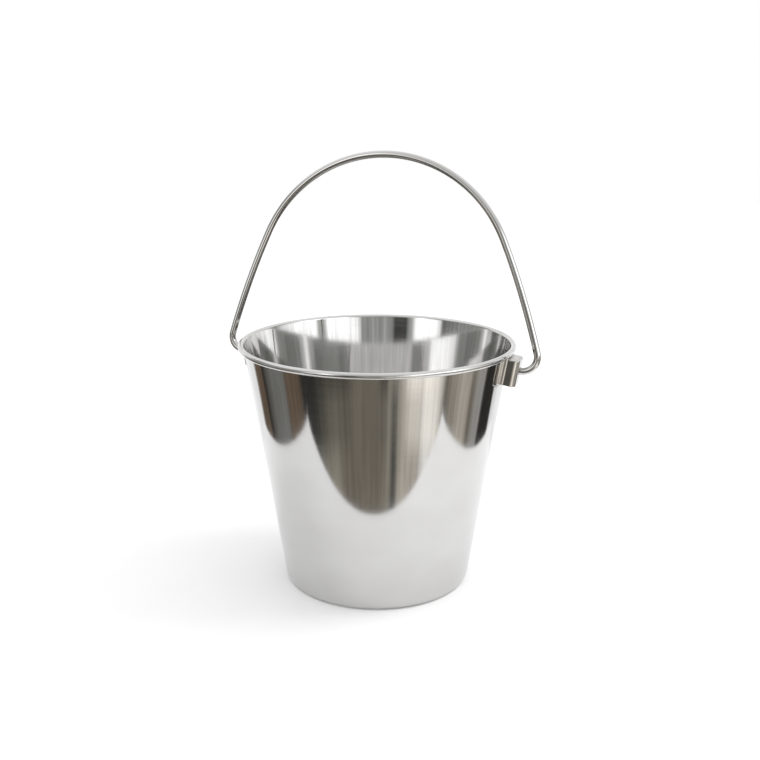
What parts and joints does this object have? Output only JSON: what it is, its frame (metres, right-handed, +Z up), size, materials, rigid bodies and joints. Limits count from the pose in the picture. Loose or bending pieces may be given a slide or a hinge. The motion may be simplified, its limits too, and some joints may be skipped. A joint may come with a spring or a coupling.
{
  "type": "kick bucket pail",
  "caption": "Tapered polished stainless pail with a rolled rim, pressed ears under the rim and a swinging wire bail, as used in a wheeled operating-room stand.",
  "frame": {"origin": "centre of the base, on the surface that the pail stands on", "axes": "+Z up the pail's axis, +X along the bail's pivot axis towards the right ear, +Y towards the side that the bail leans to at rest"},
  "size_m": [0.3514, 0.296, 0.4627],
  "materials": {
    "polished_shell": "mirror-polished stainless steel sheet",
    "pressed_ear": "polished stainless steel pressing",
    "drawn_wire": "polished stainless steel wire"
  },
  "bodies": {
    "pail": {"pail_shell": "polished_shell", "ear_right": "pressed_ear", "ear_left": "pressed_ear"},
    "bail": {"bail_handle": "drawn_wire"}
  },
  "joints": [
    {"name": "bail_swing", "type": "hinge", "parent": "pail", "child": "bail", "pos_m": [0, 0, 0.2437], "axis": [1, 0, 0], "range_deg": [-141, 155]}
  ]
}
